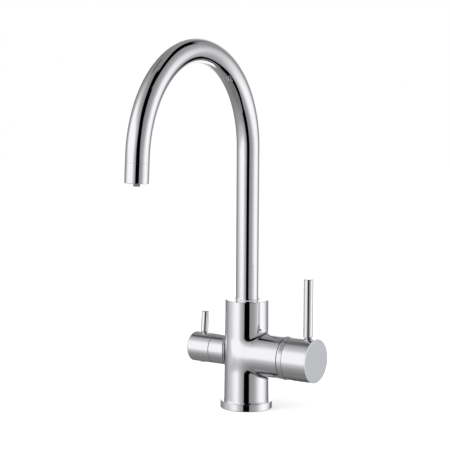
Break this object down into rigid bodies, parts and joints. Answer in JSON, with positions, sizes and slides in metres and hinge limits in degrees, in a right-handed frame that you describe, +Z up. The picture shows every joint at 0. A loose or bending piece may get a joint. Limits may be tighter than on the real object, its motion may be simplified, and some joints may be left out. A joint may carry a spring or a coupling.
{
  "type": "three way filtered water tap",
  "caption": "Deck mounted kitchen tap in polished chrome with a swivel gooseneck spout, a single lever mixer on one side and a lever valve for filtered water on the other.",
  "frame": {"origin": "centre of the base, on the worktop", "axes": "+Z up, the two valves lie along X with the mixer on +X, and the spout reaches towards -Y, turned 2.1 degrees towards +X"},
  "size_m": [0.1529, 0.2485, 0.3927],
  "materials": {
    "chrome": "polished",
    "satin_metal": "satin",
    "brass": "machined",
    "steel": "machined",
    "white_plastic": "moulded",
    "grey_plastic": "moulded",
    "black_plastic": "moulded",
    "rubber": "matte",
    "ceramic": "ground"
  },
  "bodies": {
    "tap": {"base_flange": "chrome", "base_seal": "rubber", "tap_body": "chrome", "spout_bush": "white_plastic", "thrust_washer": "white_plastic", "spout_lock_screw": "steel", "filtered_riser": "brass", "cartridge_seals": "rubber", "cartridge_base": "white_plastic", "fixed_disc": "ceramic", "cartridge_housing": "grey_plastic", "cartridge_nut": "chrome", "collar_ring": "chrome", "filter_seal": "rubber", "filter_fixed_disc": "ceramic", "filter_headwork": "brass", "headwork_oring": "rubber", "filter_bonnet": "chrome"},
    "spout": {"spout_tube": "chrome", "spout_insert": "brass", "spout_orings": "rubber", "filtered_connector": "white_plastic", "filtered_tube": "white_plastic", "filtered_nozzle": "grey_plastic", "outlet_collar": "chrome", "outlet_washer": "rubber", "aerator": "grey_plastic"},
    "mixer_rotor": {"temperature_rotor": "white_plastic", "stem_pin": "steel"},
    "mixer_disc": {"moving_disc": "ceramic", "disc_carrier": "black_plastic"},
    "mixer_lever": {"cartridge_stem": "brass", "mixer_hub": "chrome", "mixer_cap": "satin_metal", "mixer_rod": "chrome", "mixer_grub_screw": "steel", "mixer_screw_plug": "grey_plastic"},
    "filter_lever": {"filter_spindle": "brass", "filter_moving_disc": "ceramic", "filter_hub": "chrome", "filter_rod": "chrome", "filter_grub_screw": "steel", "filter_screw_plug": "chrome"}
  },
  "joints": [
    {"name": "spout_swivel", "type": "hinge", "parent": "tap", "child": "spout", "pos_m": [0, 0, 0.11], "axis": [0, 0, 1], "continuous": true},
    {"name": "mixer_temperature", "type": "hinge", "parent": "tap", "child": "mixer_rotor", "pos_m": [0.042, 0, 0.0588], "axis": [1, 0, 0], "range_deg": [-45, 45]},
    {"name": "mixer_flow", "type": "hinge", "parent": "mixer_rotor", "child": "mixer_lever", "pos_m": [0.042, 0, 0.0588], "axis": [0, 1, 0], "range_deg": [0, 25]},
    {"name": "mixer_disc_slide", "type": "slide", "parent": "mixer_rotor", "child": "mixer_disc", "axis": [0, 0, 1], "range_m": [0, 0.0026]},
    {"name": "filter_turn", "type": "hinge", "parent": "tap", "child": "filter_lever", "pos_m": [-0.0552, 0, 0.0588], "axis": [1, 0, 0], "range_deg": [0, 90]}
  ],
  "couplings": [
    {"joint": "mixer_disc_slide", "follows": "mixer_flow", "m_per_rad": 0.0057}
  ]
}
